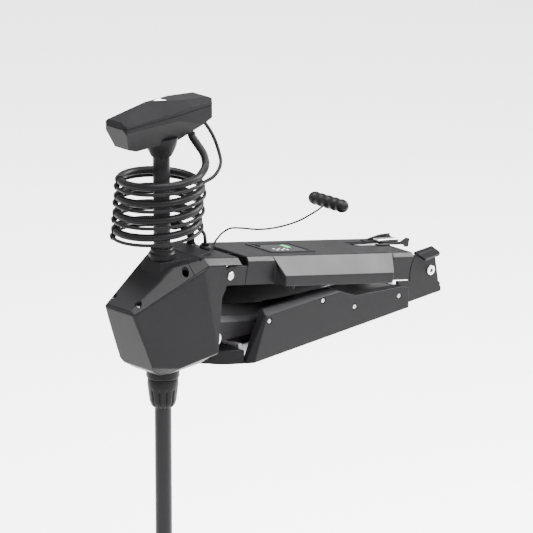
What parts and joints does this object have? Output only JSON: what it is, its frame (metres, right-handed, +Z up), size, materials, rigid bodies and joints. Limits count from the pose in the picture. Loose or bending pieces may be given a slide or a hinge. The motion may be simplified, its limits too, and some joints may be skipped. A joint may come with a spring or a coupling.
{
  "type": "bow-mount electric trolling motor",
  "caption": "Bow-mount electric trolling motor on a folding deck mount, with steering housing, coiled cables, shaft, motor pod and propeller.",
  "frame": {"origin": "centre of the mount base's underside, on the deck", "axes": "+X towards the bow, +Y to port, +Z up; the shaft is parallel to Z when deployed"},
  "size_m": [0.908, 0.2362, 1.552],
  "materials": {
    "black_paint": "satin charcoal powder coat",
    "black_plastic": "fine-grained charcoal moulding",
    "stainless": "bright stainless steel",
    "aluminium": "cast, dark anodised",
    "black_rubber": "matt black rubber and cable jacket",
    "display_lens": "glossy dark lens",
    "white_marking": "white print",
    "white_nylon": "white nylon washer",
    "bronze": "sintered bronze",
    "copper_winding": "enamelled copper wire",
    "circuit_board": "green circuit board",
    "composite": "smooth black glass-fibre composite"
  },
  "bodies": {
    "base": {"base_frame": "aluminium", "nose_cap": "black_paint", "side_cover_port": "black_plastic", "side_cover_starboard": "black_plastic", "rear_bracket_port": "black_paint", "rear_bracket_starboard": "black_paint", "stow_axle_port": "stainless", "stow_axle_starboard": "stainless", "stow_washer_port": "white_nylon", "stow_washer_starboard": "white_nylon", "link_rear_pin_port": "stainless", "link_rear_pin_starboard": "stainless"},
    "upper_arm": {"upper_arm_shell": "black_paint", "arm_fork_port": "black_paint", "arm_fork_starboard": "black_paint", "arm_rear_yoke": "aluminium", "front_hinge_bolt_port": "stainless", "front_hinge_bolt_starboard": "stainless", "display_bezel": "black_plastic", "display_lens": "display_lens", "release_bracket": "black_paint"},
    "power_button": {"power_button": "black_rubber"},
    "release_lever": {"release_lever": "stainless"},
    "lower_link": {"lower_link": "black_paint"},
    "steering_housing": {"housing_upper_cover": "black_plastic", "housing_lower_case": "black_plastic", "housing_bracket": "aluminium", "link_front_pin_port": "stainless", "link_front_pin_starboard": "stainless", "steering_motor": "aluminium", "lower_bearing": "stainless", "upper_bearing": "stainless", "control_board": "circuit_board", "power_cable_gland": "black_rubber", "data_cable_gland": "black_rubber", "power_cable": "black_rubber", "data_cable": "black_rubber", "pull_cable": "black_rubber", "pull_handle": "black_rubber", "pull_cable_boot": "black_rubber"},
    "servo_pinion": {"servo_pinion": "stainless"},
    "steering_sleeve": {"steering_sleeve": "stainless", "steering_gear": "bronze", "shaft_top_collar": "black_plastic"},
    "depth_clamp": {"depth_collet": "black_plastic"},
    "depth_collar": {"depth_collar": "black_rubber"},
    "motor_shaft": {"shaft": "composite", "head_lower_shell": "black_plastic", "head_upper_shell": "black_plastic", "head_pointer": "white_marking", "heading_sensor_board": "circuit_board", "pod_housing": "black_paint", "pod_nose": "black_paint", "pod_tail": "black_paint", "skeg": "black_plastic", "motor_windings": "copper_winding"},
    "propeller": {"propeller": "composite", "propeller_shaft": "stainless", "motor_rotor": "stainless", "propeller_nut": "stainless"}
  },
  "joints": [
    {"name": "stow", "type": "hinge", "parent": "base", "child": "upper_arm", "pos_m": [-0.255, 0, 0.05], "axis": [0, -1, 0], "range_deg": [0, 167]},
    {"name": "link_swing", "type": "hinge", "parent": "steering_housing", "child": "lower_link", "pos_m": [0.32, 0, 0.06], "axis": [0, -1, 0], "range_deg": [0, 79.6]},
    {"name": "housing_level", "type": "hinge", "parent": "upper_arm", "child": "steering_housing", "pos_m": [0.28582, 0, 0.17466], "axis": [0, -1, 0], "range_deg": [-78.5, 0]},
    {"name": "steer", "type": "hinge", "parent": "steering_housing", "child": "steering_sleeve", "pos_m": [0.397, 0, 0], "axis": [0, 0, 1], "range_deg": [-180, 180]},
    {"name": "pinion_spin", "type": "hinge", "parent": "steering_housing", "child": "servo_pinion", "pos_m": [0.4478, 0, 0], "axis": [0, 0, 1], "range_deg": [-721, 721]},
    {"name": "stow_turn", "type": "hinge", "parent": "steering_sleeve", "child": "depth_clamp", "pos_m": [0.397, 0, 0], "axis": [0, 0, 1], "range_deg": [0, 90.5]},
    {"name": "depth_slide", "type": "slide", "parent": "depth_clamp", "child": "motor_shaft", "axis": [0, 0, 1], "range_m": [-0.05, 0.3], "deforming": ["power_cable", "data_cable"]},
    {"name": "collar_turn", "type": "hinge", "parent": "depth_clamp", "child": "depth_collar", "pos_m": [0.397, 0, 0], "axis": [0, 0, 1], "range_deg": [0, 90]},
    {"name": "propeller_spin", "type": "hinge", "parent": "motor_shaft", "child": "propeller", "pos_m": [0.397, 0, -0.875], "axis": [1, 0, 0], "continuous": true},
    {"name": "power_press", "type": "slide", "parent": "upper_arm", "child": "power_button", "axis": [0.2246, 0, -0.9744], "range_m": [0, 0.0012], "stiffness_N_per_m": 600},
    {"name": "release_lift", "type": "hinge", "parent": "upper_arm", "child": "release_lever", "pos_m": [-0.24644, -0.0195, 0.09302], "axis": [0, -1, 0], "range_deg": [0, 30], "stiffness_Nm_per_rad": 0.3, "springref_deg": -17.19}
  ],
  "couplings": [
    {"joint": "link_swing", "follows": "stow", "ratio": 0.47593},
    {"joint": "housing_level", "follows": "stow", "ratio": -0.46707},
    {"joint": "stow_turn", "follows": "stow", "ratio": 0.53892},
    {"joint": "pinion_spin", "follows": "steer", "ratio": -4}
  ]
}
